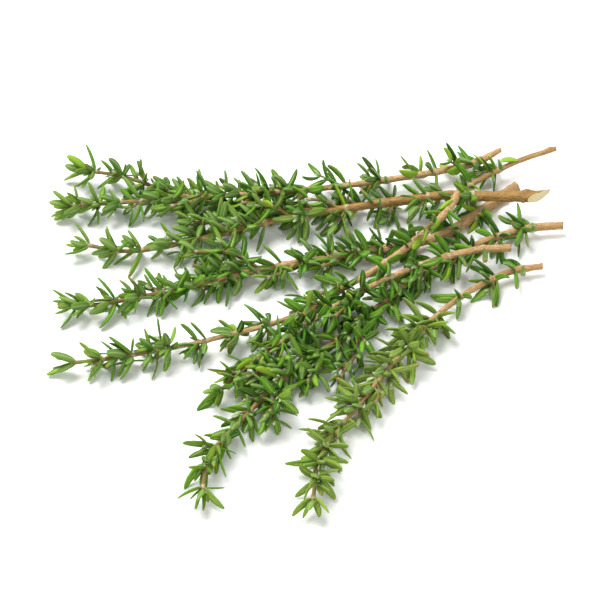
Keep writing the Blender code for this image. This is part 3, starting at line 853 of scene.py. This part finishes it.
def bark_values(stem, distance, near, turns, radius, young_from, cut, tan):
    """For each point of a stem: UV as (round, along), bark, which holds how woody it is, how near to a
    node, 1 on a cut face and how tan it is, and grain, its place were the stem laid straight."""
    ring_distance = np.concatenate([[0, 0], distance])
    ring_radius = np.vstack([*(radius[:1] * share for share in CAP_RINGS), radius])
    woody = 1 - np.clip((ring_distance / stem.length - young_from) / YOUNG_FADE, 0, 1)
    ring_node = np.concatenate([[0, 0], near])
    ring_cut = np.concatenate([[1, 1], np.zeros(len(distance))]) * (cut > 0)
    per_ring = np.column_stack([woody, ring_node, ring_cut, np.full(len(woody), tan)])
    bark = np.vstack([per_ring[:1], np.repeat(per_ring, len(turns), axis=0), per_ring[-1:]])
    down = np.repeat(ring_distance[:, None], len(turns), 1)
    grain = np.stack([ring_radius * np.cos(turns), ring_radius * np.sin(turns), down], -1)
    grain = np.vstack([[0, 0, 0], grain.reshape(-1, 3), [0, 0, stem.length]])
    uv = np.stack([np.tile(turns / (2 * np.pi), (len(down), 1)), down / stem.length], -1)
    uv = np.vstack([[0.5, 0], uv.reshape(-1, 2), [0.5, 1]])
    return uv, bark, grain


def stem_part(stem, nodes, sprig, step, sides, young_from, draw, cut=0.0, knots=(), neck=0.0):
    """A stem's bark, a cut face at its root and a closed tip. Rings near a cut lean with it: each
    point slides along the stem by the cut's slope times its place across, less the further in, and
    what stands out past the cut narrows to a point and bends up like a splinter."""
    skin = stem_skin(stem, nodes, knots, neck, step, sides, draw)
    distance, near, centre, along, level, turns, radius = skin
    upward = np.cross(along, level)
    facing = np.cos(turns - CUT_FACING)[None, :]
    fade = np.exp(-distance / CUT_FADE)[:, None]
    slide = cut * radius * facing * fade
    narrow = 1 - POINTED * cut * np.maximum(-facing, 0) ** 2 * fade
    out = (np.cos(turns)[None, :, None] * level[:, None]
           + (np.sin(turns)[None, :] * narrow)[..., None] * upward[:, None])
    splinter = SPLINTER * np.maximum(-slide, 0)
    bark = (centre[:, None] + out * radius[..., None] + along[:, None] * slide[..., None]
            + upward[:, None] * splinter[..., None])
    cap = [centre[:1, None] + (bark[:1] - centre[:1, None]) * share for share in CAP_RINGS]
    rings = np.concatenate([*cap, bark])
    tip = stem.line[-1] + along[-1] * TIP_POINT
    points = np.vstack([centre[:1], rings.reshape(-1, 3), tip[None]])
    values = bark_values(stem, distance, near, turns, radius, young_from, cut, sprig["tan"])
    return points, *skin_faces(len(rings), sides), *values


def stems_piece(plan, material):
    """One sprig's main stem, side shoots and short shoots as a single mesh."""
    sprig = plan["sprig"]
    draw = np.random.default_rng(sprig["seed"] + 500)
    _, nodes = bearing_leaves(plan)
    parts = [stem_part(plan["main"], nodes, sprig, RING_STEP, SIDES, YOUNG_FROM, draw,
                       sprig["cut_slope"], sprig["knots"], sprig["neck"])]
    parts += [stem_part(shoot, shoot_nodes(shoot), sprig, RING_STEP, SHORT_SIDES, 0.0, draw)
              for shoot in plan["shoots"]]
    parts += [stem_part(shoot, [0.0], sprig, SHORT_STEP, SHORT_SIDES, 0.0, draw)
              for shoot in plan["short"]]
    first = np.cumsum([0] + [len(part[0]) for part in parts[:-1]])
    points, uv, bark, grain = (np.vstack([part[k] for part in parts]) for k in (0, 3, 4, 5))
    quads, fans = (np.vstack([part[k] + step for part, step in zip(parts, first)]) for k in (1, 2))
    return mesh_piece(sprig["name"] + "_stem", points, quads, fans, uv,
                      {"bark": bark, "grain": grain}, material)


class Recipe:
    """Short calls for a material's nodes."""

    def __init__(self, name):
        self.material = bpy.data.materials.new(name)
        self.material.use_nodes = True
        self.tree = self.material.node_tree
        self.shader = self.tree.nodes["Principled BSDF"]

    def set(self, socket, value):
        """Links a node's output to an input, or sets the input's own value."""
        if isinstance(value, bpy.types.NodeSocket):
            self.tree.links.new(value, socket)
        else:
            socket.default_value = value

    def attribute(self, name):
        """The node that reads one of the mesh's own sets of values."""
        node = self.tree.nodes.new("ShaderNodeAttribute")
        node.attribute_name = name
        return node

    def channels(self, name):
        """The red, green and blue of a colour attribute, and its alpha."""
        source = self.attribute(name)
        parts = self.tree.nodes.new("ShaderNodeSeparateColor")
        self.set(parts.inputs["Color"], source.outputs["Color"])
        return (*parts.outputs, source.outputs["Alpha"])

    def shade(self, values):
        """Sets the shader's own inputs by name."""
        for name, value in values.items():
            self.set(self.shader.inputs[name], value)

    def math(self, operation, a, b=0.0):
        """One sum or product of two values."""
        node = self.tree.nodes.new("ShaderNodeMath")
        node.operation = operation
        self.set(node.inputs[0], a)
        self.set(node.inputs[1], b)
        return node.outputs[0]

    def ramp(self, value, low, high, start=0.0, end=1.0):
        """Start to end, smoothly, as the value goes from low to high."""
        node = self.tree.nodes.new("ShaderNodeMapRange")
        node.interpolation_type = "SMOOTHSTEP"
        self.set(node.inputs["Value"], value)
        for label, number in (("From Min", low), ("From Max", high), ("To Min", start), ("To Max", end)):
            self.set(node.inputs[label], number)
        return node.outputs["Result"]

    def blend(self, factor, a, b):
        """Colour a where the factor is 0 and b where it is 1."""
        node = self.tree.nodes.new("ShaderNodeMix")
        node.data_type = "RGBA"
        self.set(node.inputs["Factor"], factor)
        for label, colour in (("A", a), ("B", b)):
            socket = [s for s in node.inputs if s.name == label and s.type == "RGBA"][0]
            self.set(socket, (*colour, 1) if isinstance(colour, tuple) else colour)
        return [s for s in node.outputs if s.type == "RGBA"][0]

    def noise(self, where, scale, detail, along=1.0):
        """Cloudy noise. Its pattern may be drawn out along Z, the more the smaller along is."""
        if along != 1.0:
            mapping = self.tree.nodes.new("ShaderNodeMapping")
            mapping.inputs["Scale"].default_value = (1.0, 1.0, along)
            self.set(mapping.inputs["Vector"], where)
            where = mapping.outputs["Vector"]
        node = self.tree.nodes.new("ShaderNodeTexNoise")
        self.set(node.inputs["Vector"], where)
        self.set(node.inputs["Scale"], scale)
        self.set(node.inputs["Detail"], detail)
        return node.outputs["Fac"]

    def place(self):
        """Where a point is on the object, in metres."""
        return self.tree.nodes.new("ShaderNodeTexCoord").outputs["Object"]

    def uv(self):
        """The piece's own UV pair."""
        node = self.tree.nodes.new("ShaderNodeUVMap")
        node.uv_map = "UVMap"
        parts = self.tree.nodes.new("ShaderNodeSeparateXYZ")
        self.set(parts.inputs["Vector"], node.outputs["UV"])
        return parts.outputs["X"], parts.outputs["Y"]

    def bump(self, height, distance, strength):
        """A relief of this height in metres, in the shader's normal."""
        node = self.tree.nodes.new("ShaderNodeBump")
        self.set(node.inputs["Height"], height)
        self.set(node.inputs["Distance"], distance)
        self.set(node.inputs["Strength"], strength)
        self.set(self.shader.inputs["Normal"], node.outputs["Normal"])


def leaf_material():
    """Fresh thyme leaf: green above with a pale groove and painted shade on its rolled edges, paler below
    with a raised rib, yellow-green when young, olive and downy on a dull sprig, some tips browned, and a
    fine grain of oil glands."""
    make, tone = Recipe("thyme_leaf"), LEAF_COLOURS
    where = make.place()
    across, share = make.uv()
    youth, light, brown = make.channels("tint")[:3]
    under, bud, olive = make.channels("form")[:3]
    patches = make.noise(where, 700, 2)
    depth = make.math("ADD", make.math("MULTIPLY", light, 0.8), make.math("MULTIPLY", patches, 0.4))
    green = make.blend(make.ramp(depth, 0.25, 0.95), tone["deep"], tone["bright"])
    green = make.blend(make.math("MULTIPLY", olive, 0.85), green, tone["olive"])
    young = make.blend(patches, *tone["young"])
    green = make.blend(make.ramp(youth, 0.1, 0.9, 0.0, 0.85), green, young)
    vivid = make.ramp(youth, 0.88, 1.0, 0.0, 0.75)
    green = make.blend(vivid, green, tone["yellow"])
    middle = make.math("ABSOLUTE", make.math("SUBTRACT", across, 0.5))
    groove = make.ramp(middle, 0.03, 0.17, 0.85, 0.0)
    fading = make.ramp(share, 0.55, 0.98, 1.0, 0.2)
    above = make.blend(make.math("MULTIPLY", groove, fading), green, tone["groove"])
    # Painted shade: the rolled margins of the upper face are darkened towards the edge colour
    above = make.blend(make.ramp(middle, 0.36, 0.5, 0.0, 0.35), above, tone["edge"])
    below = make.blend(make.ramp(middle, 0.03, 0.16, 0.7, 0.0), tone["under"], tone["rib"])
    below = make.blend(make.ramp(youth, 0.2, 0.9, 0.0, 0.5), below, tone["young_under"])
    below = make.blend(vivid, below, tone["yellow_under"])
    colour = make.blend(under, above, below)
    colour = make.blend(make.math("MULTIPLY", bud, 0.75), colour, tone["bud"])
    colour = make.blend(make.ramp(share, 0.16, 0.02, 0.0, 0.6), colour, tone["stalk"])
    burnt = make.math("MULTIPLY", make.ramp(share, 0.78, 0.98), brown)
    colour = make.blend(burnt, colour, tone["browned"])
    down = make.math("ADD", make.math("MULTIPLY", olive, 0.30), 0.08)
    flecks = make.ramp(make.noise(where, 2600, 2), 0.50, 0.66)
    colour = make.blend(make.math("MULTIPLY", flecks, down), colour, tone["down"])
    glands = make.noise(where, 5200, 1)
    wrinkles = make.noise(where, 1700, 2)
    make.bump(make.math("ADD", glands, wrinkles), 0.00004, 0.7)
    make.shade({"Base Color": colour, "Roughness": make.ramp(wrinkles, 0.2, 0.8, 0.42, 0.62),
                "Specular IOR Level": 0.12, "Subsurface Weight": 0.15,
                "Subsurface Radius": (0.6, 1.0, 0.2), "Subsurface Scale": 0.0006,
                "Sheen Weight": 0.03, "Sheen Roughness": 0.5})
    return make.material


def stem_material():
    """Thyme stem: streaked brown or tan bark with darker cracks and pores and ringed nodes, reddish
    and then green towards the tip, and a pale cut face."""
    make, tone = Recipe("thyme_stem"), BARK_COLOURS
    woody, node, cut, tan = make.channels("bark")
    grain = make.attribute("grain").outputs["Vector"]
    seen = {name: make.noise(grain, *pattern) for name, pattern in BARK_PATTERNS.items()}
    dark, pale, patch, thread = (make.blend(tan, *tone[name])
                                 for name in ("dark", "pale", "patch", "thread"))
    bark = make.blend(make.ramp(seen["streaks"], 0.30, 0.66), dark, pale)
    for name, low, high, most, colour in (("blotches", 0.42, 0.66, 0.7, patch),
                                          ("fibres", 0.56, 0.68, 0.55, thread),
                                          ("cracks", 0.43, 0.31, 0.75, tone["crack"]),
                                          ("specks", 0.62, 0.72, 0.6, tone["speck"]),
                                          ("pores", 0.43, 0.35, 0.5, tone["pore"])):
        bark = make.blend(make.ramp(seen[name], low, high, 0.0, most), bark, colour)
    colour = make.blend(woody, make.blend(seen["streaks"], *tone["young"]), bark)
    scar = make.math("MULTIPLY", make.ramp(node, 0.30, 0.9),
                     make.ramp(seen["blotches"], 0.38, 0.58, 0.1, 0.8))
    colour = make.blend(scar, colour, tone["scar"])
    wood = make.blend(seen["rings"], *tone["wood"])
    colour = make.blend(make.ramp(cut, 0.4, 0.8), colour, wood)
    make.bump(make.math("ADD", seen["streaks"], seen["cracks"]), 0.00022, 1.0)
    make.shade({"Base Color": colour, "Roughness": make.ramp(seen["streaks"], 0.2, 0.8, 0.68, 0.9),
                "Specular IOR Level": 0.15})
    return make.material


def floor_material():
    """A plain pale matt floor."""
    make = Recipe("pale_floor")
    make.shade({"Base Color": (0.95, 0.95, 0.95, 1), "Roughness": 0.9})
    return make.material


def build_floor():
    """A wide pale plane just under the sprigs."""
    mesh = bpy.data.meshes.new("floor")
    corners = ((-1, -1), (1, -1), (1, 1), (-1, 1))
    mesh.from_pydata([(x * FLOOR_HALF, y * FLOOR_HALF, -FLOOR_DROP) for x, y in corners],
                     [], [(0, 1, 2, 3)])
    mesh.materials.append(floor_material())
    floor = bpy.data.objects.new("floor", mesh)
    bpy.context.scene.collection.objects.link(floor)


def aimed(place, target):
    """The matrix that puts a camera or lamp at a place and points it at a target."""
    direction = Vector(target) - Vector(place)
    return Matrix.Translation(place) @ direction.to_track_quat("-Z", "Y").to_matrix().to_4x4()


def build_lamp(name, place, size, power):
    """A square soft light aimed at the middle of the bundle."""
    lamp = bpy.data.lights.new(name, "AREA")
    lamp.size = size
    lamp.energy = power
    obj = bpy.data.objects.new(name, lamp)
    obj.matrix_world = aimed(place, LAMP_TARGET)
    bpy.context.scene.collection.objects.link(obj)


def build_studio():
    """Even white surroundings, a large soft key light from the upper left and a weak fill."""
    world = bpy.data.worlds.new("studio")
    world.use_nodes = True
    sky = world.node_tree.nodes["Background"].inputs
    sky["Color"].default_value = (1, 1, 1, 1)
    sky["Strength"].default_value = SKY_STRENGTH
    bpy.context.scene.world = world
    for lamp in LAMPS:
        build_lamp(*lamp)
    bpy.context.scene.view_settings.view_transform = "Standard"


def build_camera():
    """The photo's view: straight along +Y, tilted down, far enough away for a long lens."""
    lift = math.radians(VIEW_ELEVATION)
    target = Vector(VIEW_TARGET) * MM
    place = target + Vector((0, -math.cos(lift), math.sin(lift))) * VIEW_DISTANCE * MM
    camera = bpy.data.cameras.new("camera")
    camera.sensor_width = SENSOR
    camera.lens = SENSOR * VIEW_DISTANCE / (MM_PER_PIXEL * FRAME_PIXELS)
    camera.clip_start = 0.01
    obj = bpy.data.objects.new("camera", camera)
    obj.matrix_world = aimed(place, target)
    bpy.context.scene.collection.objects.link(obj)
    bpy.context.scene.camera = obj


def dress_bundle():
    """Every sprig's stem and leaves, in place of its solid."""
    plans = plan_bundle()
    add_foliage(plans)
    leaf, stem = leaf_material(), stem_material()
    for plan in plans:
        name = plan["sprig"]["name"]
        for piece, slot in ((stems_piece(plan, stem), "thyme_stem"),
                            (leaves_piece(plan, leaf), "thyme_leaf")):
            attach(piece, "root")
            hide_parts(name)


build_camera()
build_studio()
build_floor()
dress_bundle()
